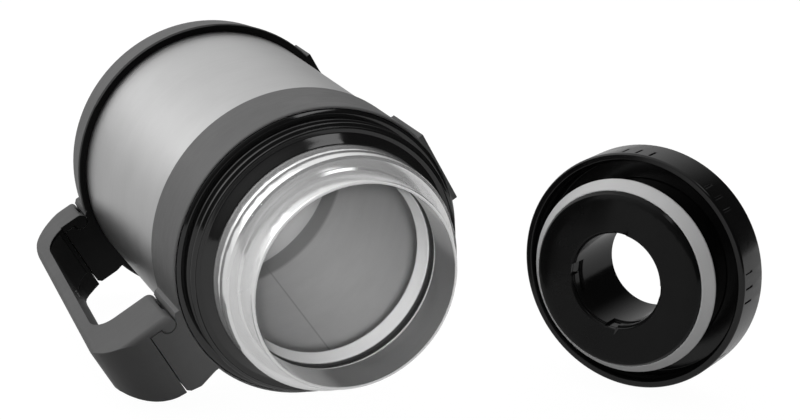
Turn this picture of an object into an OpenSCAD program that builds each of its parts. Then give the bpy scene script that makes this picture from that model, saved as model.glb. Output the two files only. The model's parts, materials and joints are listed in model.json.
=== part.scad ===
/* [Steel body] */
// Outer radius of the steel body
body_r = 61.6; // [50:0.1:75]
// Thickness of the steel sheet
sheet = 0.5; // [0.4:0.1:0.8]
// Radial width of the vacuum space between the two walls
vacuum_gap = 4.8; // [3:0.1:6]

/* [Neck] */
// How far the back of the neck lies inside the line of the body
neck_in = 10.9; // [9:0.1:13]
// Length of the wide back of the neck that stands out of the black ring
neck_step_l = 12; // [10:0.5:14]
// Length of the narrower front of the neck
neck_front_l = 13.6; // [12:0.1:16]
// Distance from the surface of the neck's back in to the mouth's bore
mouth_in = 7.9; // [7:0.1:10]
// Depth of the smooth bore inside the mouth
mouth_l = 18.5; // [14:0.5:20]
// How far the throat behind the seat is narrower than the bore
throat_in = 1.9; // [1.2:0.1:3]
// Depth of the rolled thread groove on the neck
neck_thread = 0.5; // [0.3:0.1:0.8]

/* [Base ring] */
// Thickness of the base ring round the steel body
base_wall = 1.4; // [1:0.1:3]
// How far the base ring flares out to its open edge
base_flare = 2.2; // [1.5:0.1:4]
// Height of the base ring
base_h = 18.2; // [16:0.1:24]
// Radius of the soft pad under the base
pad_r = 48; // [40:0.5:52]
// Thickness of the soft pad
pad_t = 2.4; // [1.5:0.1:3]

/* [Collar] */
// Thickness of the collar round the steel body
collar_wall = 1.1; // [0.9:0.1:3]
// Height of the back edge of the collar
collar_z = 116.5; // [100:0.5:120]
// Length of the collar along the axis
collar_l = 29; // [24:0.5:32]
// Distance of the cup thread's crest inside the line of the steel body
cup_thread_in = 3.2; // [2.5:0.1:5]
// Length of the cup thread in front of the collar
cup_thread_l = 10.1; // [8:0.1:14]
// Pitch of the cup thread
cup_thread_pitch = 4.6; // [3:0.1:6]
// Depth of the cup thread
cup_thread_d = 1.5; // [0.8:0.1:2]
// Width of the flat pads opposite the handle
pad_flat_w = 34; // [20:0.5:40]

/* [Handle] */
// Width of the handle on its fold side, from its centre plane
handle_fold_w = 16.4; // [15.5:0.1:20]
// Width of the handle on its far side, from its centre plane
handle_far_w = 18.0; // [14:0.1:20]
// Length of the brackets from the collar to the handle's seat
seat_l = 13.3; // [12:0.1:16]
// Reach of the grip beyond the seat at the base face
reach_base_l = 14.5; // [12:0.5:20]
// Reach of the grip beyond the seat at the mouth-side face
reach_mouth_l = 24; // [20:0.5:28]
// Thickness of the grip
grip_t = 6; // [5:0.1:8]
// Radius of the grip's outer edge on its far side
grip_edge_r = 13; // [6:0.5:15]
// Radius of that edge where it reaches the mouth-side face
mouth_edge_r = 26; // [16:0.5:28]
// Radius of the edges of both end faces on the fold side
fold_edge_r = 3; // [1:0.1:4]
// Radius of the edges of both end faces on the far side
far_edge_r = 1.5; // [1:0.1:4]
// Bend radius of the outer corner at the base
base_corner_r = 30; // [16:0.5:32]
// Bend radius of the outer corner at the mouth
mouth_corner_r = 18; // [12:0.5:19]
// Bend radius of the inner corner at the base
inner_base_r = 16; // [9:0.5:17]
// Bend radius of the inner corner at the mouth
inner_mouth_r = 9; // [6:0.5:9]
// Depth of the black cover let into the inside of the handle
cover_t = 2.2; // [1.5:0.1:3]

/* [Handle hinge] */
// Outer radius of the handle's hinge barrels, flush with its fold side
barrel_r = 3.2; // [3:0.1:3.6]
// Radius of the brackets' hinge knuckles, hidden in the barrels
knuckle_r = 2; // [1.8:0.05:2.2]
// Radius of the hinge pins
pin_r = 1.1; // [0.9:0.05:1.3]
// Solid end of a barrel in front of its pin
barrel_end = 3.4; // [2:0.1:5]

/* [Ring lid] */
// Outer radius of the ring lid
lid_r = 52; // [50:0.1:54]
// Depth of the ring lid behind its open edge
lid_back = 21.5; // [17:0.5:24]
// Depth of the recess that takes the neck
recess_d = 12.5; // [10:0.5:14]
// Radius of the plug
plug_r = 38.6; // [34:0.1:39]
// Height of the plug's face in front of the open edge
plug_h = 15.4; // [12:0.1:20]
// How far the seal stands out of the plug
seal_out = 3.8; // [3:0.1:4]
// Height of the seal's outer edge in front of the open edge
seal_z = 7.5; // [5:0.1:9]
// Radius of the centre hole
hole_r = 20.2; // [16:0.1:22]
// Number of groups of grip notches
notch_groups = 8; // [6:1:12]
// Notches in one group
notches = 3; // [2:1:4]
// Angle between the notches of one group
notch_pitch = 7; // [4:0.5:9]
// Angle of the first group
notch_turn = 5; // [0:1:45]

/* [Fits] */
// Running clearance of the hinge pins
pin_fit = 0.05; // [0.03:0.01:0.08]
// Clearance between pieces that slip over each other
slip = 0.1; // [0.05:0.01:0.2]
// Gap between moving faces
gap = 0.35; // [0.3:0.05:0.5]

/* [Place on the table] */
// Distance of the jar's base centre from the middle, to the left
jar_x = -43.4; // [-60:0.1:0]
// Distance of the jar's base centre behind the middle
jar_y = 108.6; // [80:0.1:140]
// Distance of the ring lid from the jar's axis, to the right
lid_dx = 133.5; // [125:0.1:160]
// Distance of the ring lid in front of the jar's base
lid_dy = 174.4; // [150:0.1:200]
// Turn of the ring lid about the upright
lid_turn = -58.1; // [-90:0.1:0]

/* [Hidden] */
$fn = 96;
eps = 0.01;

// Heights and radii of the steel vessel
neck_r = body_r - neck_in;                     // back of the neck
mouth_r = neck_r - mouth_in;                   // bore of the mouth
throat_r = mouth_r - throat_in;                // throat
base_r = body_r + base_wall;                   // base ring at the table end
base_edge_r = base_r + base_flare;             // base ring at its open edge
collar_r = body_r + collar_wall;               // collar
cup_thread_r = body_r - cup_thread_in;         // crest of the cup thread
foot = 0.4;                                    // the pad stands out below the base ring
floor_z = pad_t + 1.5;                         // the steel stands on the base ring's floor
mouth_z = collar_z + collar_l;                 // front face of the collar and handle
ring_z = mouth_z + cup_thread_l;               // front face of the cup thread
face_r = cup_thread_r - 3.8;                   // inner edge of that face
ring_top = ring_z + face_r - neck_r - slip;    // tip of the sloping black face
body_h = mouth_z - 5.5;                        // end of the straight steel wall
shoulder_z = ring_z - 1.6;                     // top of the steel shoulder
step_z = ring_top + neck_step_l;               // end of the wide back of the neck
rim_h = step_z + neck_front_l;                 // front rim
lip_r = mouth_r + 1.4;                         // outer radius of the front of the neck
cavity_r = body_r - vacuum_gap - 2 * sheet;    // inner radius of the food space
cavity_z = floor_z + sheet + 5.3;              // floor of the food space
bore_z = rim_h - mouth_l;                      // back end of the smooth mouth bore
groove_z = bore_z - 4.1;                       // middle of the groove behind the bore
seat_z = groove_z - 2.6;                       // front edge of the sloping seat
throat_z = seat_z - 5.8;                       // throat behind the seat
thread_z = ring_top + 5.8;                     // middle of the thread groove on the neck
cavity_bend = 16;                              // bend radius of the food space's floor
getter_r = 9;                                  // radius of the getter cup

// Outline of one rounded corner b between its neighbours a and c
function unit(v) = v / norm(v);
function turn(a) = (a + 540) % 360 - 180;
function bend(a, b, c, r) =
    let (steps = max(8, ceil(r / 2)), u = unit(a - b), w = unit(c - b), half = acos(u * w) / 2,
         centre = b + unit(u + w) * r / sin(half),
         p = b + u * r / tan(half) - centre, q = b + w * r / tan(half) - centre,
         start = atan2(p.y, p.x), sweep = turn(atan2(q.y, q.x) - start))
    [for (i = [0:steps]) centre + r * [cos(start + sweep * i / steps), sin(start + sweep * i / steps)]];
// Outline through corners p, each rounded to its radius in r
function rounded(p, r) =
    let (n = len(p))
    [for (i = [0:n - 1]) each r[i] > 0 ? bend(p[(i + n - 1) % n], p[i], p[(i + 1) % n], r[i]) : [p[i]]];

module turned(outline) rotate_extrude() polygon(outline);
module tube(outer, inner, length) difference() {
    cylinder(r = outer, h = length);
    translate([0, 0, -1]) cylinder(r = inner, h = length + 2);
}

// ---- steel vessel, built upright: +Z to the mouth, +X to the handle ----

// Pressed outer wall with its shoulder and the stepped, threaded neck
module outer_shell_shape() {
    in = sheet;
    deep = neck_r - neck_thread;
    turned([
        [body_r, floor_z], [body_r, body_h], [neck_r, shoulder_z], [neck_r, thread_z - 1.3],
        [deep, thread_z - 0.4], [deep, thread_z + 0.4], [neck_r, thread_z + 1.3], [neck_r, step_z - 1.3],
        [neck_r - 0.5, step_z + 0.3], [neck_r - 1.6, step_z + 0.9], [neck_r - 3.6, step_z + 0.6],
        [lip_r + 0.9, step_z - 0.2], [lip_r, step_z + 0.7], [lip_r, rim_h - 0.6], [lip_r - 0.35, rim_h],
        [mouth_r + in, rim_h], [mouth_r + in, rim_h - 2], [lip_r - in, rim_h - 3], [lip_r - in, step_z + 0.1],
        [lip_r + 0.6, step_z - 0.8], [neck_r - 3.7, step_z], [neck_r - 1.7, step_z + 0.3],
        [neck_r - 1, step_z - 0.1], [neck_r - in, step_z - 1.5], [neck_r - in, thread_z + 1.4],
        [deep - in, thread_z + 0.5], [deep - in, thread_z - 0.5], [neck_r - in, thread_z - 1.4],
        [neck_r - in, shoulder_z + 0.2], [body_r - in, body_h + 0.2], [body_r - in, floor_z]]);
}

// Inner wall: smooth mouth bore, step, groove and seat, then the wide food space
module inner_liner_shape() {
    t = sheet;
    step_r = mouth_r + 0.5;
    groove_r = mouth_r + 1;
    out_bend = cavity_bend + t;
    floor_in = [for (a = [0:9:90])
        [cavity_r - cavity_bend * (1 - cos(a)), cavity_z + cavity_bend * (1 - sin(a))]];
    floor_out = [for (a = [90:-9:0])
        [cavity_r + t - out_bend * (1 - cos(a)), cavity_z - t + out_bend * (1 - sin(a))]];
    turned(concat(
        [[mouth_r, rim_h], [mouth_r, bore_z], [step_r, bore_z - 0.4], [step_r, groove_z + 2],
         [groove_r, groove_z + 1.3], [groove_r, groove_z - 1.3],
         [mouth_r + 0.2, seat_z + 0.2], [mouth_r, seat_z], [mouth_r - 0.7, seat_z - 2.8], [throat_r, throat_z],
         [throat_r, throat_z - 1], [cavity_r - 5, throat_z - 12], [cavity_r, throat_z - 20]],
        floor_in, [[0, cavity_z], [0, cavity_z - t]], floor_out,
        [[cavity_r + t, throat_z - 19.9], [cavity_r - 5 + t, throat_z - 11.7], [throat_r + t, throat_z - 0.8],
         [throat_r + t, throat_z - 0.1], [mouth_r - 0.7 + t, seat_z - 2.9], [mouth_r + t, seat_z - 0.1],
         [mouth_r + 0.2 + t, seat_z], [groove_r + t, groove_z - 1.5], [groove_r + t, groove_z + 1.5],
         [step_r + t, groove_z + 2.3], [step_r + t, bore_z - 0.2], [mouth_r + t, bore_z + 0.2],
         [mouth_r + t, rim_h]]));
}

// Disc that closes the outer wall, dished up in the middle
module shell_bottom_shape() {
    edge = body_r - sheet;
    turned([[0, floor_z + 1.4], [getter_r + 3, floor_z + 1.4], [getter_r + 6, floor_z], [edge, floor_z],
            [edge, floor_z + sheet], [getter_r + 5.7, floor_z + sheet], [getter_r + 2.7, floor_z + 1.4 + sheet],
            [0, floor_z + 1.4 + sheet]]);
}

// Cup and pellet that keep the vacuum, on the dished disc
module getter_cup_shape() translate([0, 0, floor_z + 1.4 + sheet]) turned(
    [[0, 0], [getter_r, 0], [getter_r, 1.8], [getter_r - 0.5, 1.8], [getter_r - 0.5, 0.4], [0, 0.4]]);
module getter_pellet_shape() translate([0, 0, floor_z + 1.8 + sheet]) cylinder(r = getter_r - 0.6, h = 1.2);

// ---- hinge brackets ----

seat_r = collar_r + seat_l;                     // the handle seats on its brackets here
pin_y = handle_fold_w - barrel_r;               // hinge axis, from the handle's centre plane
pin_x = sqrt(pow(base_edge_r + barrel_r + gap, 2) - pow(pin_y, 2));     // and from the jar axis
bracket_side = -(pin_y - 0.2);                  // flank of a bracket beside the handle's cheek
cheek_side = -(pin_y + 0.1);                    // inner face of that cheek
fill_x = pin_x - barrel_r - gap;                // the brackets fill the valley beside the barrels
fill_y = -handle_fold_w + 0.4;
base_depth = base_h - foot;                     // depth of the handle's base arm
mouth_depth = collar_l - 2.5;                   // depth of the handle's mouth arm

// Pocket in a barrel for the bracket's knuckle, from the arm's open face inwards
function pocket_z(depth) = 0.4 * depth;
function pocket_l(depth) = 0.35 * depth;

module at_pin() translate([pin_x, -pin_y, 0]) children();

// Block that carries the handle, with its knuckle on a web; z runs from its open face inwards
module bracket(depth, ring_r) {
    knuckle_l = pocket_l(depth) - 2 * gap;
    difference() {
        linear_extrude(depth) polygon([[ring_r - 8, fill_y], [fill_x - 1.5, fill_y], [fill_x, fill_y + 1.5],
            [fill_x, bracket_side], [seat_r, bracket_side], [seat_r, handle_far_w - 1.5],
            [seat_r - 1.5, handle_far_w], [seat_r - 6, handle_far_w + 1],
            [ring_r - 1, handle_far_w - 1], [ring_r - 8, handle_far_w - 1]]);
        translate([0, 0, -1]) at_pin() cylinder(r = barrel_r + gap, h = depth + 2);
    }
    translate([0, 0, pocket_z(depth) + gap]) at_pin() {
        cylinder(r = knuckle_r, h = knuckle_l);
        translate([-knuckle_r, 0, 0]) cube([2 * knuckle_r, barrel_r + gap + 1, knuckle_l]);
    }
}
module pin_bore(depth) translate([0, 0, barrel_end]) at_pin()
    cylinder(r = pin_r + pin_fit, h = depth);
module hinge_pin(depth) translate([0, 0, barrel_end + gap]) at_pin()
    cylinder(r = pin_r, h = depth - barrel_end - gap - 1.6);
// The base hinge's pin goes in from the table end
module from_table() translate([0, 0, base_h]) mirror([0, 0, 1]) children();
module to_mouth() translate([0, 0, mouth_z]) mirror([0, 0, 1]) children();
module to_base() translate([0, 0, foot]) children();

// Flat pad on the side away from the handle
module flat_pad(z, length, flat_x) translate([-flat_x, -pad_flat_w / 2, z]) cube([9, pad_flat_w, length]);

// ---- rings on the vessel ----

module base_ring_shape() difference() {
    union() {
        turned([[0, foot], [base_r - 1, foot], [base_r, foot + 1], [base_edge_r, base_h - 0.8],
                [base_edge_r - 0.8, base_h], [0, base_h]]);
        intersection() {
            to_base() bracket(base_depth, base_r);
            side_extrude() outer_outline();
        }
        flat_pad(foot, base_depth, base_edge_r - 0.6);
    }
    translate([0, 0, floor_z]) cylinder(r = body_r + slip, h = base_h);
    translate([0, 0, -1]) cylinder(r = pad_r + slip, h = pad_t + 1);
    translate([0, 0, -1]) cylinder(r = pad_r - 6, h = base_h);
    from_table() pin_bore(base_depth);
}

module base_pad_shape() difference() {
    union() {
        cylinder(r = pad_r, h = pad_t);
        translate([0, 0, pad_t - eps]) cylinder(r = pad_r - 6 - slip, h = floor_z - pad_t + eps);
    }
    for (r = [12:8:pad_r - 6]) translate([0, 0, -1]) tube(r + 0.8, r - 0.8, 1.6);
}

module collar_ring_shape() difference() {
    union() {
        turned([[0, collar_z], [collar_r - 0.5, collar_z], [collar_r, collar_z + 0.5],
                [collar_r, mouth_z - 0.8], [collar_r - 0.4, mouth_z], [0, mouth_z]]);
        to_mouth() bracket(mouth_depth, collar_r);
        flat_pad(collar_z, collar_l, collar_r - 0.1);
    }
    translate([0, 0, collar_z - 1]) cylinder(r = body_r + slip, h = collar_l + 2);
    to_mouth() pin_bore(mouth_depth);
}

// Rolled thread ring of a trapezoid section round a core of radius root
module thread_ridge(root, depth, pitch) turned([
    [root - 0.5, -0.34 * pitch], [root, -0.34 * pitch], [root + depth, -0.12 * pitch],
    [root + depth, 0.12 * pitch], [root, 0.34 * pitch], [root - 0.5, 0.34 * pitch]]);

// Black ring that takes the serving cup: flange, thread and sloping face
module thread_ring_shape() {
    root = cup_thread_r - cup_thread_d;
    back = mouth_z - 2;
    lift = slip * 1.3;
    slope = (body_r - neck_r) / (shoulder_z - body_h);
    back_r = neck_r + (shoulder_z + lift - back) * slope;
    turned([[back_r, back], [body_r - slip, back], [body_r - slip, mouth_z], [body_r - 1.4, mouth_z + 1.1],
            [root + 1.2, mouth_z + 1.1], [root, mouth_z + 0.3], [root, ring_z - 0.4], [root - 0.4, ring_z],
            [face_r, ring_z], [neck_r + slip + 0.2, ring_top - 0.2], [neck_r + slip, ring_top - 0.2],
            [neck_r + slip, ring_z + 1.2], [neck_r + slip + 1.4, ring_z + 0.9],
            [neck_r + slip + 1.4, ring_z - 0.9],
            [neck_r + slip, ring_z - 1.2], [neck_r + slip, shoulder_z + lift]]);
    for (z = [mouth_z + 3.4:cup_thread_pitch:ring_z - 1.6]) translate([0, 0, z])
        thread_ridge(root, cup_thread_d, cup_thread_pitch);
}

// Ring that seals the black ring to the steel neck, in the groove of its bore
module neck_gasket_shape() translate([0, 0, ring_z - 0.8])
    tube(neck_r + slip + 1.3, neck_r + 0.02, 1.6);

// ---- handle ----

arm_root = body_r - 10;                                            // outlines of the handle start here
reach_base = seat_r + reach_base_l;                                // grip at the base face
reach_mouth = seat_r + reach_mouth_l;                              // grip at the mouth-side face
grip_lean = atan((reach_mouth - reach_base) / (mouth_z - foot));   // the grip leans out to the mouth
arm_in = mouth_z - mouth_depth;                                    // inner face of the mouth arm
function reach(z) = reach_base + (z - foot) * tan(grip_lean);      // outer line of the grip
far_taper = 8;                                                     // and the rounder edge leaves the grip
screw_z = [base_h + inner_base_r + 14, arm_in - inner_mouth_r - 14];   // heights of the two screws

module side_extrude() translate([0, handle_far_w, 0]) rotate([90, 0, 0])
    linear_extrude(handle_far_w + handle_fold_w) children();

// Outer outline of the handle and its base bracket, seen from the fold side
module outer_outline() polygon(rounded(
    [[arm_root, foot], [reach(foot), foot], [reach(mouth_z), mouth_z], [arm_root, mouth_z]],
    [0, base_corner_r, mouth_corner_r, 0]));

// Outline of the finger gap; grow widens it all round
module window_outline(grow) polygon(rounded(
    [[arm_root, base_h - grow], [reach(base_h) - grip_t + grow, base_h - grow],
     [reach(arm_in) - grip_t + grow, arm_in + grow], [arm_root, arm_in + grow]],
    [0, inner_base_r + grow, inner_mouth_r + grow, 0]));

// The handle's outline starts a gap away from the brackets
module handle_profile() difference() {
    outer_outline();
    translate([0, -1]) square([seat_r + gap, mouth_z + 2]);
    window_outline(0);
}

// Section of the grip, seen from the mouth: flat on the fold side, round on the outer far edge
module grip_section(fold_r, far_r, fold_w, far_w) polygon(rounded(
    [[-60, -fold_w], [0, -fold_w], [0, far_w], [-60, far_w]], [0, fold_r, far_r, 0]));

// Outline seen along the arms, with the edges of both end faces rounded
module end_outline() polygon(rounded(
    [[-handle_fold_w, foot], [handle_far_w, foot], [handle_far_w, mouth_z], [-handle_fold_w, mouth_z]],
    [fold_edge_r, far_edge_r, far_edge_r, fold_edge_r]));

// Cheek and barrel of one arm, with the pocket for the bracket's knuckle and its web
module arm_end(depth) {
    swing = knuckle_r + gap;
    open = barrel_r + 1;
    difference() {
        union() {
            translate([pin_x, -handle_fold_w, 0])
                cube([seat_r + gap + 1 - pin_x, handle_fold_w + cheek_side, depth]);
            at_pin() cylinder(r = barrel_r, h = depth);
        }
        translate([0, 0, pocket_z(depth)]) at_pin() {
            cylinder(r = swing, h = pocket_l(depth));
            translate([-open, -swing, 0]) cube([open + swing, open + swing, pocket_l(depth)]);
        }
    }
}

module screw_places() for (z = screw_z) translate([reach(z) - grip_t, 0, z]) rotate([0, 90, 0]) children();

// Hard shell of the handle; its outer far edge gets rounder towards the mouth
module handle_grip_shape() difference() {
    intersection() {
        union() {
            intersection() {
                side_extrude() handle_profile();
                translate([reach_base, 0, foot]) rotate([0, grip_lean, 0]) translate([0, 0, -30])
                    linear_extrude(mouth_z + 60) grip_section(3.2, grip_edge_r, handle_fold_w, handle_far_w);
                translate([reach_mouth, handle_far_w, mouth_z]) rotate([far_taper, grip_lean - far_taper, 0])
                    translate([0, 0, -mouth_z - 20]) linear_extrude(mouth_z + 30)
                        grip_section(0, mouth_edge_r, 60, 0);
            }
            intersection() {
                to_base() arm_end(base_depth);
                side_extrude() outer_outline();
            }
            to_mouth() arm_end(mouth_depth);
        }
        rotate([90, 0, 90]) linear_extrude(reach_mouth + 10) end_outline();
    }
    from_table() pin_bore(base_depth);
    to_mouth() pin_bore(mouth_depth);
    cover_band(cover_t, 0);
    screw_places() cylinder(r = 1.1, h = grip_t - 1.2);
}

// Band let into the inside of the handle, from one arm to the other
module cover_band(deep, inset) {
    fold_lip = 1.4;
    far_lip = 9;
    translate([0, handle_far_w - far_lip - inset, 0]) rotate([90, 0, 0])
        linear_extrude(handle_far_w + handle_fold_w - far_lip - fold_lip - 2 * inset) difference() {
            window_outline(deep);
            window_outline(-eps);
            translate([0, -1]) square([seat_r + gap + 2 + inset, mouth_z + 2]);
        }
}
module handle_inner_cover_shape() difference() {
    cover_band(cover_t - slip, slip);
    screw_places() {
        translate([0, 0, -2]) cylinder(r = 1.5, h = 12);
        translate([0, 0, -2]) cylinder(r = 2.9, h = 2.8);
    }
}
module handle_screws_shape() screw_places() {
    cylinder(r = 1, h = grip_t - 1.5);
    translate([0, 0, 0.1]) cylinder(r = 2.7, h = 0.65);
}

// ---- ring lid, built with its axis up: z = 0 at its open edge, plug at +Z ----

skirt_r = lid_r - 3.3;                 // inner radius of the skirt
socket_r = hole_r + 1.8;               // outer radius of the socket's sleeve
plug_wall = 2;                         // wall of the plug shell
seal_r = plug_r + seal_out;            // outer radius of the seal
slot_z = plug_h - 9;                   // back of the stopper's slots

module lid_cap_shape() difference() {
    turned([[socket_r + slip, -lid_back], [lid_r - 4, -lid_back], [lid_r - 1.2, -lid_back + 1],
            [lid_r, -lid_back + 3.2], [lid_r, -0.7], [lid_r - 0.6, 0], [skirt_r + 0.6, 0], [skirt_r, -0.7],
            [skirt_r, -3.4], [skirt_r - 0.9, -4.2], [skirt_r - 0.9, -5], [skirt_r, -5.8],
            [skirt_r, -recess_d + 1], [skirt_r - 1, -recess_d], [plug_r + slip, -recess_d],
            [plug_r + slip, -recess_d - 2], [socket_r + slip, -recess_d - 2]]);
    for (g = [0:notch_groups - 1], k = [0:notches - 1])
        rotate([0, 0, 360 / notch_groups * g + notch_turn + (k - (notches - 1) / 2) * notch_pitch])
            translate([lid_r - 0.5, -0.4, -8.5]) cube([2, 0.8, 6.5]);
}

// Hollow plug; its face turns in over the end of the sleeve
module lid_plug_shape() difference() {
    turned([
        [hole_r + 0.35, plug_h - plug_wall], [hole_r + 0.35, plug_h - 0.9], [hole_r + 1.2, plug_h],
        [plug_r - 3.6, plug_h - 0.4], [plug_r - 1.2, plug_h - 1.3], [plug_r, plug_h - 3.2], [plug_r, seal_z + 4.7],
        [plug_r - 0.9, seal_z + 4.7], [plug_r - 0.9, seal_z - 3.5], [plug_r, seal_z - 3.5], [plug_r, -recess_d - 2],
        [plug_r - plug_wall, -recess_d - 2], [plug_r - plug_wall, plug_h - 4],
        [plug_r - plug_wall - 2, plug_h - plug_wall]]);
    stopper_slots();
}

module lid_core_shape() translate([0, 0, -recess_d - 2])
    tube(plug_r - plug_wall - 0.3, socket_r + 0.3, plug_h - 4.6 + recess_d + 2);

module lid_seal_shape() turned([
    [plug_r - 0.8, seal_z - 3.4], [seal_r - 1.3, seal_z - 2.8], [seal_r, seal_z - 0.8], [seal_r, seal_z],
    [plug_r + 0.2, seal_z + 4.6], [plug_r - 0.8, seal_z + 4.6]]);

// L-shaped slots for the four lugs of the centre stopper
module stopper_slots() for (a = [0:90:270]) rotate([0, 0, a]) {
    translate([hole_r - 4, -2.5, slot_z]) cube([5, 5, plug_h]);
    intersection() {
        translate([0, 0, slot_z]) tube(hole_r + 1, hole_r - 1, 3.6);
        translate([0, -2.5, slot_z - 1]) cube([40, 13, 10]);
    }
}

// Sleeve through the middle, with the slots and a groove for its seal
module stopper_socket_shape() difference() {
    translate([0, 0, -lid_back]) cylinder(r = socket_r, h = plug_h - plug_wall + lid_back);
    translate([0, 0, -lid_back - 1]) cylinder(r = hole_r, h = plug_h + lid_back + 2);
    translate([0, 0, -lid_back + 3]) tube(socket_r + 1, socket_r - 1, 1.8);
    stopper_slots();
}

// Ring that seals the sleeve in the lid's shell
module socket_gasket_shape() translate([0, 0, -lid_back + 3.1]) tube(socket_r + 0.04, socket_r - 0.9, 1.6);

// ---- place on the table ----

// The base ring and the collar rest on the table, and the handle's far edge steadies them
tilt = asin((base_edge_r - collar_r) / (mouth_z - base_h));
rest_z = base_edge_r * cos(tilt) + base_h * sin(tilt);
edge_l = 30;         // the handle stands on its far edge this far behind its mouth-side face
edge_full = 0.12;    // the edge is this much fuller there than the round of the grip
edge_x = reach(mouth_z - edge_l) - grip_edge_r;
edge_y = handle_far_w - grip_edge_r;
edge_drop = rest_z - (mouth_z - edge_l) * sin(tilt) - grip_edge_r - edge_full;
handle_drop = acos(edge_drop / norm([edge_x, edge_y])) + atan2(edge_y, edge_x);

module lie_down() translate([jar_x, jar_y, rest_z]) rotate([tilt, 0, 0]) rotate([90, 0, 0])
    rotate([0, 0, 270 - handle_drop]) children();
module stand_lid() translate([jar_x + lid_dx, jar_y - lid_dy, lid_r]) rotate([0, 0, lid_turn])
    rotate([90, 0, 0]) children();

module outer_shell() color([0.66, 0.66, 0.67]) lie_down() outer_shell_shape();
module inner_liner() color([0.72, 0.72, 0.73]) lie_down() inner_liner_shape();
module shell_bottom() color([0.6, 0.6, 0.6]) lie_down() shell_bottom_shape();
module getter_cup() color([0.7, 0.7, 0.7]) lie_down() getter_cup_shape();
module getter_pellet() color([0.3, 0.3, 0.3]) lie_down() getter_pellet_shape();
module base_ring() color([0.3, 0.3, 0.3]) lie_down() base_ring_shape();
module base_pad() color([0.1, 0.1, 0.1]) lie_down() base_pad_shape();
module collar_ring() color([0.3, 0.3, 0.3]) lie_down() collar_ring_shape();
module thread_ring() color([0.03, 0.03, 0.03]) lie_down() thread_ring_shape();
module neck_gasket() color([0.2, 0.2, 0.2]) lie_down() neck_gasket_shape();
module collar_hinge_pin() color([0.7, 0.7, 0.7]) lie_down() to_mouth() hinge_pin(mouth_depth);
module base_hinge_pin() color([0.7, 0.7, 0.7]) lie_down() from_table() hinge_pin(base_depth);
module handle_grip() color([0.3, 0.3, 0.3]) lie_down() handle_grip_shape();
module handle_inner_cover() color([0.12, 0.12, 0.12]) lie_down() handle_inner_cover_shape();
module handle_screws() color([0.6, 0.6, 0.6]) lie_down() handle_screws_shape();
module lid_cap() color([0.03, 0.03, 0.03]) stand_lid() lid_cap_shape();
module lid_plug() color([0.03, 0.03, 0.03]) stand_lid() lid_plug_shape();
module lid_core() color([0.9, 0.88, 0.8]) stand_lid() lid_core_shape();
module lid_seal() color([0.72, 0.72, 0.72]) stand_lid() lid_seal_shape();
module stopper_socket() color([0.04, 0.04, 0.04]) stand_lid() stopper_socket_shape();
module socket_gasket() color([0.15, 0.15, 0.15]) stand_lid() socket_gasket_shape();

outer_shell();
inner_liner();
shell_bottom();
getter_cup();
getter_pellet();
base_ring();
base_pad();
collar_ring();
thread_ring();
neck_gasket();
collar_hinge_pin();
base_hinge_pin();
handle_grip();
handle_inner_cover();
handle_screws();
lid_cap();
lid_plug();
lid_core();
lid_seal();
stopper_socket();
socket_gasket();
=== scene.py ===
import json
import math

import bpy
from mathutils import Matrix, Quaternion, Vector

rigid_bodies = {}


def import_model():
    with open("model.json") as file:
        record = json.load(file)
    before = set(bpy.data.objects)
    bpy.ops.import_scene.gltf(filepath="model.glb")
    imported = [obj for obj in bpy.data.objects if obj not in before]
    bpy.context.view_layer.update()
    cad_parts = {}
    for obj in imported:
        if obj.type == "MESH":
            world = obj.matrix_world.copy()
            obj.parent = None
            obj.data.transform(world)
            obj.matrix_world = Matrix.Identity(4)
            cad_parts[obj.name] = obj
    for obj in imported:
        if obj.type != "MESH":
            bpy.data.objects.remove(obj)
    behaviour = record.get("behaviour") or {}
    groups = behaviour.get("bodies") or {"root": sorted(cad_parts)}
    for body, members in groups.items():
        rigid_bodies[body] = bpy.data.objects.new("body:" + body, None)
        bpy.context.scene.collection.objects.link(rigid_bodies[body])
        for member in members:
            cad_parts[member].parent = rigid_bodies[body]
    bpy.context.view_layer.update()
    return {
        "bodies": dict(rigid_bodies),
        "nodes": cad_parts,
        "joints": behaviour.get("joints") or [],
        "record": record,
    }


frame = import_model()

MM = 0.001
PIN = (67.471, -13.2)          # the handle's hinge axis in the jar's frame, mm
BORE_FRONT = 13.4              # front end of the lid's bore, from the lid's open edge, mm

# ---------------------------------------------------------------- frames

record = frame["record"]
mounts = {m["name"]: m for m in record["mounts"]}
joints = {j["name"]: j for j in frame["joints"]}


def jar_frame():
    """The upright jar frame: origin at the base centre, +Z to the mouth, +X to the handle."""
    base = Vector(mounts["base_face"]["pos_m"])
    axis = -Vector(mounts["base_face"]["axis"]).normalized()
    pin = Vector(joints["handle_fold"]["pos_m"]) - base
    pin -= axis * pin.dot(axis)
    pin_angle = math.atan2(PIN[1], PIN[0])
    x = Quaternion(axis, -pin_angle) @ pin.normalized()
    y = axis.cross(x)
    m = Matrix((x, y, axis)).transposed().to_4x4()
    m.translation = base
    return m


def lid_frame():
    """The ring lid's frame: origin at its open edge, +Z along the plug."""
    bore = mounts["lid_centre_bore"]
    middle = BORE_FRONT - bore["dims"]["length_mm"] / 2
    z = Vector(bore["axis"]).normalized()
    x = Vector((0, 0, 1)).cross(z).normalized()
    y = z.cross(x)
    m = Matrix((x, y, z)).transposed().to_4x4()
    m.translation = Vector(bore["pos_m"]) - z * middle * MM
    return m


JAR = jar_frame()
LID = lid_frame()

# ---------------------------------------------------------------- materials

# Heights in the jar's frame, in metres.
BOTTOM_Z = 0.0255              # end of the rounding round the food space's floor, where its painted light ends
SHADE_BAND_Z = 0.0375                # end of the dark band of painted shade on the wall above it
WELD_END_Z = 0.146             # end of the weld seam under the seat
SEAT_Z = 0.1530
GROOVE_Z = (0.1598, 0.1643)    # between seat and bore
BORE_Z = 0.1660
NECK_Z = 0.1495                # where the polished neck begins
GAP_Z = (0.0179, 0.1192)       # finger gap, between the handle's arms

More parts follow.
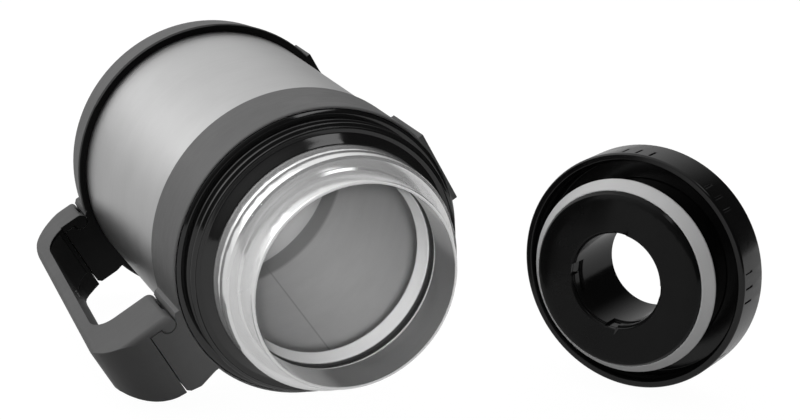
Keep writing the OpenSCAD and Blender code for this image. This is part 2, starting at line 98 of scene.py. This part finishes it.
# Places along the jar's X, in metres, some of them with a change per metre of height.
WELD_X, WELD_SLOPE = 0.0054, 0.0765
GAP_X, GAP_SLOPE = 0.0848, 0.0655      # inner side of the grip
PAD_X = -0.0608                # flat pads opposite the handle


class Nodes:
    """A material's node tree, with short calls for the nodes used here."""

    def __init__(self, name):
        self.mat = bpy.data.materials.new(name)
        self.mat.use_nodes = True
        self.tree = self.mat.node_tree
        self.tree.nodes.clear()
        self.out = self.add("ShaderNodeOutputMaterial")
        self.shader = self.add("ShaderNodeBsdfPrincipled")
        self.link(self.shader.outputs[0], self.out.inputs["Surface"])

    def add(self, kind, **values):
        n = self.tree.nodes.new(kind)
        for key, value in values.items():
            setattr(n, key, value)
        return n

    def link(self, a, b):
        self.tree.links.new(a, b)

    def set(self, **values):
        for key, value in values.items():
            self.shader.inputs[key.replace("_", " ")].default_value = value

    def place(self, frame, scale=(1, 1, 1)):
        """Object coordinates turned into a frame of the object, in metres."""
        coord = self.add("ShaderNodeTexCoord")
        mapping = self.add("ShaderNodeMapping", vector_type="POINT")
        inv = frame.inverted()
        mapping.inputs["Location"].default_value = inv.translation
        mapping.inputs["Rotation"].default_value = inv.to_euler("XYZ")
        self.link(coord.outputs["Object"], mapping.inputs["Vector"])
        stretch = self.add("ShaderNodeMapping", vector_type="POINT")
        stretch.inputs["Scale"].default_value = scale
        self.link(mapping.outputs[0], stretch.inputs["Vector"])
        return stretch.outputs[0]

    def axes(self, frame):
        """X, Y and Z of a frame of the object, in metres."""
        split = self.add("ShaderNodeSeparateXYZ")
        self.link(self.place(frame), split.inputs[0])
        return split.outputs

    def noise(self, vector, scale, detail=3.0, rough=0.55):
        n = self.add("ShaderNodeTexNoise")
        n.inputs["Scale"].default_value = scale
        n.inputs["Detail"].default_value = detail
        n.inputs["Roughness"].default_value = rough
        self.link(vector, n.inputs["Vector"])
        return n.outputs["Fac"]

    def span(self, value, low, high, from_low=0.3, from_high=0.7):
        """A value between two others, held at them outside its own range."""
        n = self.add("ShaderNodeMapRange")
        n.inputs["From Min"].default_value = from_low
        n.inputs["From Max"].default_value = from_high
        n.inputs["To Min"].default_value = low
        n.inputs["To Max"].default_value = high
        self.link(value, n.inputs["Value"])
        return n.outputs["Result"]

    def step(self, value, at, width):
        """0 before a place, 1 after it."""
        return self.span(value, 0.0, 1.0, at, at + width)

    def drop(self, value, at, width):
        """1 before a place, 0 after it."""
        return self.span(value, 1.0, 0.0, at, at + width)

    def tint(self, value, dark, light, from_low=0.3, from_high=0.7):
        """A value turned into a colour; a plain number is a grey."""
        ramp = self.add("ShaderNodeValToRGB")
        ends = ((from_low, dark), (from_high, light))
        for element, (position, colour) in zip(ramp.color_ramp.elements, ends):
            element.position = position
            rgb = colour if isinstance(colour, tuple) else (colour,) * 3
            element.color = (*rgb, 1)
        self.link(value, ramp.inputs["Fac"])
        return ramp.outputs["Color"]

    def mix(self, share, a, b):
        n = self.add("ShaderNodeMix", data_type="RGBA")
        self.link(share, n.inputs[0])
        self.link(a, n.inputs[6])
        self.link(b, n.inputs[7])
        return n.outputs[2]

    def math(self, operation, a, b=None):
        """A math node on sockets; a plain number goes onto its input."""
        n = self.add("ShaderNodeMath", operation=operation)
        for socket, value in zip(n.inputs, (a, b)):
            if isinstance(value, (int, float)):
                socket.default_value = value
            elif value is not None:
                self.link(value, socket)
        return n.outputs[0]

    def bump(self, height, distance, strength=1.0, under=None):
        n = self.add("ShaderNodeBump")
        n.inputs["Strength"].default_value = strength
        n.inputs["Distance"].default_value = distance
        self.link(height, n.inputs["Height"])
        if under is not None:
            self.link(under, n.inputs["Normal"])
        return n.outputs["Normal"]

    def paint(self, socket, colour):
        self.link(colour, self.shader.inputs[socket])


def moulded(name, frame, dark, light, rough, grain=2600, depth=0.00003, specular=0.5):
    """Moulded plastic: fine grain, a slow change of tone and faint handling marks."""
    m = Nodes(name)
    at = m.place(frame)
    slow = m.noise(at, 38, 4.0)
    fine = m.noise(at, grain, 2.0, 0.6)
    smear = m.noise(m.place(frame, (1, 1, 5)), 90, 5.0, 0.65)
    m.slow, m.colour = slow, m.tint(slow, dark, light)
    m.paint("Base Color", m.colour)
    m.paint("Roughness", m.span(smear, rough[0], rough[1]))
    m.paint("Normal", m.bump(fine, depth, 0.6, m.bump(slow, 0.0002, 0.25)))
    m.set(IOR=1.5, Specular_IOR_Level=specular)
    return m


def painted_gap_shade(m, tone):
    """Paints shade on a moulded plastic: the faces towards the finger gap and the steel go black.
    """
    x, _, z = m.axes(JAR)
    geometry = m.add("ShaderNodeNewGeometry")
    turn = m.add("ShaderNodeVectorMath", operation="DOT_PRODUCT")
    turn.inputs[1].default_value = JAR.col[1][:3]
    m.link(geometry.outputs["Normal"], turn.inputs[0])
    flank = m.math("LESS_THAN", m.math("ABSOLUTE", turn.outputs["Value"]), 0.6)
    line = m.math("ADD", m.math("MULTIPLY", z, GAP_SLOPE), GAP_X)
    inside = m.math("LESS_THAN", x, line)
    above = m.math("GREATER_THAN", z, GAP_Z[0])
    below = m.math("LESS_THAN", z, GAP_Z[1])
    # Painted shade: faces inside the finger gap turn near black.
    gap_shade_mask = m.math("MULTIPLY", m.math("MULTIPLY", flank, inside), m.math("MULTIPLY", above, below))
    m.paint("Base Color", m.mix(gap_shade_mask, m.colour, m.tint(m.slow, tone, tone * 1.5)))
    return m


def steel(name, frame, tone, rough, brush=(6, 6, 1400), depth=0.000006):
    """Steel sheet brushed round the jar's axis, with faint smears."""
    m = Nodes(name)
    lines = m.noise(m.place(frame, brush), 1.0, 4.0, 0.7)
    smear = m.noise(m.place(frame, (1, 1, 1.5)), 26, 5.0, 0.6)
    m.colour = m.tint(smear, tone[0], tone[1])
    m.matt = m.span(lines, rough[0], rough[1])
    m.smear, m.lines = smear, lines
    m.paint("Base Color", m.colour)
    m.paint("Roughness", m.matt)
    m.paint("Normal", m.bump(lines, depth, 0.5))
    m.set(Metallic=1.0)
    return m


def shell_steel():
    """Satin outer wall; the neck, in front of the black ring, is polished and painted lighter,
    partly a painted sheen.
    """
    m = steel("satin steel", JAR, (0.53, 0.58), (0.34, 0.42))
    neck = m.step(m.axes(JAR)["Z"], NECK_Z, 0.0010)
    # Painted sheen: the polished neck is painted lighter and less metallic.
    m.paint("Base Color", m.mix(neck, m.colour, m.tint(m.smear, 0.86, 0.93)))
    m.paint("Roughness", m.mix(neck, m.matt, m.span(m.lines, 0.13, 0.20)))
    m.paint("Metallic", m.mix(neck, m.span(m.smear, 0.99, 1.0), m.span(m.smear, 0.72, 0.80)))
    return m


def liner_steel():
    """Satin food space, with painted light on its floor, a band of painted shade above it and a
    weld seam.

    Seat, black groove and polished bore lie in front of it; the groove's black is painted shade,
    the light seat a painted highlight.
    """
    m = steel("liner steel with painted light and shade", JAR, (0.70, 0.78), (0.34, 0.44), (10, 10, 1200), 0.000004)
    x, y, z = m.axes(JAR)
    bore = m.step(z, BORE_Z, 0.0004)
    seat = m.step(z, SEAT_Z, 0.0008)
    groove = m.math("MULTIPLY", m.step(z, GROOVE_Z[0], 0.0005), m.drop(z, GROOVE_Z[1], 0.0003))

    line = m.math("ADD", m.math("MULTIPLY", z, WELD_SLOPE), WELD_X)
    weld = m.span(m.math("ABSOLUTE", m.math("SUBTRACT", x, line)), 0.5, 0.0, 0.00015, 0.0005)
    weld = m.math("MULTIPLY", weld, m.step(y, 0.0, 0.01))
    weld = m.math("MULTIPLY", weld, m.drop(z, WELD_END_Z, 0.004))

    # Painted light on the floor and its rounding, and painted shade in a band on the wall above.
    bottom = m.drop(z, BOTTOM_Z, 0.0008)
    band = m.math("MULTIPLY", m.drop(z, SHADE_BAND_Z, 0.0030), 0.75)
    wall = m.mix(band, m.colour, m.tint(m.smear, 0.26, 0.32))
    wall = m.mix(bottom, wall, m.tint(m.smear, 0.90, 0.96))
    wall = m.mix(weld, wall, m.tint(m.smear, 0.30, 0.38))

    # Painted highlight: seat and bead are lighter and less metallic; painted shade: the groove is
    # near black.
    front = m.mix(bore, m.tint(m.smear, 0.88, 0.93), m.tint(m.smear, 0.72, 0.78))
    front = m.mix(groove, front, m.tint(m.smear, 0.03, 0.05))
    m.paint("Base Color", m.mix(seat, wall, front))
    m.paint("Roughness", m.mix(bore, m.matt, m.span(m.lines, 0.10, 0.17)))
    shine = m.mix(bore, m.span(m.smear, 0.28, 0.34), m.span(m.smear, 0.80, 0.86))
    m.paint("Metallic", m.mix(seat, m.span(m.smear, 0.50, 0.56), shine))
    return m


def collar_plastic():
    """Charcoal plastic, with painted shade: black on the flat pad opposite the handle."""
    m = moulded("collar plastic with painted shade", JAR, 0.088, 0.106, (0.40, 0.50))
    # Painted shade: the flat pad opposite the handle is painted near black.
    pad = m.drop(m.axes(JAR)["X"], PAD_X, 0.0008)
    m.paint("Base Color", m.mix(pad, m.colour, m.tint(m.slow, 0.040, 0.052)))
    return m


MATERIALS = {
    "satin_steel": shell_steel(),
    "liner_steel": liner_steel(),
    "grey": collar_plastic(),
    # The handle plastic carries painted shade, near black, on the faces inside the finger gap.
    "handle": painted_gap_shade(moulded("handle plastic with painted shade", JAR, 0.116, 0.136, (0.42, 0.52),
                                  specular=0.2), 0.003),
    "black": moulded("black plastic", JAR, 0.005, 0.008, (0.07, 0.12), 1800, 0.000004, 0.7),
    "matt_black": moulded("matt black plastic", JAR, 0.020, 0.027, (0.5, 0.6), 1800, 0.00002, 0.15),
    "lid_black": moulded("black lid plastic", LID, 0.004, 0.007, (0.12, 0.19), 1800, 0.00001, 0.17),
    "cap_black": moulded("black cap plastic", LID, 0.004, 0.007, (0.14, 0.22), 1800, 0.00001, 0.42),
    "seal": moulded("silicone", LID, 0.56, 0.62, (0.42, 0.55), 2200, 0.00002),
    "pad": moulded("pad rubber", JAR, 0.02, 0.03, (0.6, 0.75)),
    "pin": steel("pin steel", JAR, (0.55, 0.62), (0.22, 0.3)),
    "getter": moulded("getter powder", JAR, 0.10, 0.14, (0.8, 0.9)),
    "foam": moulded("foam", LID, (0.70, 0.67, 0.56), (0.80, 0.77, 0.66), (0.8, 0.9)),
}

LOOKS = {
    "outer_shell": "satin_steel", "inner_liner": "liner_steel", "shell_bottom": "satin_steel",
    "getter_cup": "satin_steel", "getter_pellet": "getter",
    "base_ring": "handle", "base_pad": "pad",
    "collar_ring": "grey", "thread_ring": "black", "neck_gasket": "pad", "collar_hinge_pin": "pin",
    "base_hinge_pin": "pin", "handle_grip": "handle", "handle_inner_cover": "matt_black",
    "handle_screws": "pin", "lid_cap": "cap_black", "lid_plug": "lid_black", "lid_core": "foam",
    "lid_seal": "seal", "stopper_socket": "lid_black", "socket_gasket": "seal",
}

# Widths of the rounded edges, in millimetres.
BEVELS = {
    "base_ring": 0.18, "collar_ring": 0.18, "thread_ring": 0.3,
    "handle_grip": 0.3, "handle_inner_cover": 0.3,
    "lid_cap": 0.3, "lid_plug": 0.4, "lid_seal": 0.3, "stopper_socket": 0.25,
}


def dress(name):
    """Gives a CAD node its material, smooth faces and rounded edges."""
    node = frame["nodes"][name]
    node.data.materials.clear()
    node.data.materials.append(MATERIALS[LOOKS[name]].mat)
    node.data.shade_smooth()
    if "custom_normal" in node.data.attributes:
        node.data.attributes.remove(node.data.attributes["custom_normal"])
    weld = node.modifiers.new("weld", "WELD")
    weld.merge_threshold = 0.000005
    if name in BEVELS:
        bevel = node.modifiers.new("bevel", "BEVEL")
        bevel.limit_method = "ANGLE"
        bevel.angle_limit = math.radians(32)
        bevel.width = BEVELS[name] * MM
        bevel.segments = 3
        bevel.use_clamp_overlap = False
        bevel.miter_outer = "MITER_SHARP"
    split = node.modifiers.new("split", "EDGE_SPLIT")
    split.split_angle = math.radians(34)
    normal = node.modifiers.new("normal", "WEIGHTED_NORMAL")
    normal.weight = 60
    normal.keep_sharp = True


for name in LOOKS:
    dress(name)

# ---------------------------------------------------------------- floor, lights and camera


def floor():
    """Floor that shows white to the camera and keeps the object's soft shadow."""
    bpy.ops.mesh.primitive_plane_add(size=60, location=(0, 0, -0.0004))
    plane = bpy.context.object
    plane.name = "floor"
    m = Nodes("pale floor")
    m.set(Base_Color=(0.30, 0.30, 0.30, 1), Roughness=0.7)
    path = m.add("ShaderNodeLightPath")
    mirrored = m.math("MAXIMUM", path.outputs["Is Glossy Ray"], path.outputs["Is Transmission Ray"])
    seen = m.math("MULTIPLY", path.outputs["Is Camera Ray"], 0.80)
    share = m.math("ADD", m.math("MULTIPLY", mirrored, 0.36), seen)
    glow = m.add("ShaderNodeEmission")
    glow.inputs["Color"].default_value = (1, 1, 1, 1)
    glow.inputs["Strength"].default_value = 1.22
    mix = m.add("ShaderNodeMixShader")
    m.link(share, mix.inputs["Fac"])
    m.link(m.shader.outputs[0], mix.inputs[1])
    m.link(glow.outputs[0], mix.inputs[2])
    m.link(mix.outputs[0], m.out.inputs["Surface"])
    plane.data.materials.append(m.mat)


def world():
    """White to the camera; as a light, bright behind the object and dim in front of it."""
    w = bpy.data.worlds.new("studio")
    bpy.context.scene.world = w
    w.use_nodes = True
    tree = w.node_tree
    tree.nodes.clear()
    new, link = tree.nodes.new, tree.links.new
    coord = new("ShaderNodeTexCoord")
    split = new("ShaderNodeSeparateXYZ")
    link(coord.outputs["Generated"], split.inputs[0])
    side = new("ShaderNodeVectorMath")
    side.operation = "DOT_PRODUCT"
    side.inputs[1].default_value = (-0.50, 0.68, 0.54)
    link(coord.outputs["Generated"], side.inputs[0])
    ramp = new("ShaderNodeMapRange")
    ramp.interpolation_type = "SMOOTHSTEP"
    ramp.inputs["From Min"].default_value = 0.05
    ramp.inputs["From Max"].default_value = 0.75
    ramp.inputs["To Min"].default_value = 0.03
    ramp.inputs["To Max"].default_value = 1.04
    link(side.outputs["Value"], ramp.inputs["Value"])
    soft = new("ShaderNodeBackground")
    link(ramp.outputs["Result"], soft.inputs["Strength"])
    white = new("ShaderNodeBackground")
    white.inputs["Strength"].default_value = 1.0
    path = new("ShaderNodeLightPath")
    mix = new("ShaderNodeMixShader")
    link(path.outputs["Is Camera Ray"], mix.inputs["Fac"])
    link(soft.outputs[0], mix.inputs[1])
    link(white.outputs[0], mix.inputs[2])
    out = new("ShaderNodeOutputWorld")
    link(mix.outputs[0], out.inputs["Surface"])


def softbox(name, at, to, size, power):
    """A rectangular lamp at a point, aimed at another."""
    lamp = bpy.data.lights.new(name, "AREA")
    lamp.shape = "RECTANGLE"
    lamp.size, lamp.size_y = size
    lamp.energy = power
    obj = bpy.data.objects.new(name, lamp)
    bpy.context.scene.collection.objects.link(obj)
    obj.location = at
    obj.rotation_mode = "QUATERNION"
    obj.rotation_quaternion = (Vector(to) - Vector(at)).to_track_quat("-Z", "Y")


def spot(name, frame, at, to, angle, power):
    """A narrow lamp between two points of a frame, in millimetres, that no surface mirrors."""
    lamp = bpy.data.lights.new(name, "SPOT")
    lamp.spot_size = math.radians(angle)
    lamp.spot_blend = 1.0
    lamp.shadow_soft_size = 0.06
    lamp.energy = power
    obj = bpy.data.objects.new(name, lamp)
    bpy.context.scene.collection.objects.link(obj)
    at, to = frame @ (Vector(at) * MM), frame @ (Vector(to) * MM)
    obj.location = at
    obj.rotation_mode = "QUATERNION"
    obj.rotation_quaternion = (to - at).to_track_quat("-Z", "Y")
    obj.visible_glossy = False


def camera():
    """The photograph's camera, given in the jar's frame in millimetres."""
    at = Vector((103.7, -393.4, 828.7)) * MM
    right = Vector((-0.8000, 0.4305, 0.4180))
    down = Vector((0.5734, 0.7537, 0.3211))
    forward = Vector((-0.1768, 0.4966, -0.8498))
    turn = Matrix((right, -down, -forward)).transposed().to_4x4()
    turn.translation = at
    data = bpy.data.cameras.new("camera")
    data.sensor_fit = "HORIZONTAL"
    data.sensor_width = 36
    data.lens = 86.985
    data.clip_start, data.clip_end = 0.01, 50
    obj = bpy.data.objects.new("camera", data)
    bpy.context.scene.collection.objects.link(obj)
    m = JAR @ turn
    obj.rotation_mode = "QUATERNION"
    obj.location = m.translation
    obj.rotation_quaternion = m.to_quaternion()
    bpy.context.scene.camera = obj


floor()
world()
softbox("key", (-0.80, 0.60, 0.85), (-0.03, 0.0, 0.06), (1.1, 1.1), 3.5)
spot("mouth", JAR, (95, -365, 850), (0, 0, 182), 8.2, 74)
spot("plug", LID, (240, 230, 760), (0, 0, 4), 7.6, 24)
softbox("card", (0.25, -0.52, 1.15), (-0.04, -0.04, 0.06), (0.46, 0.2), 0.6)
camera()
bpy.context.scene.view_settings.view_transform = "Standard"
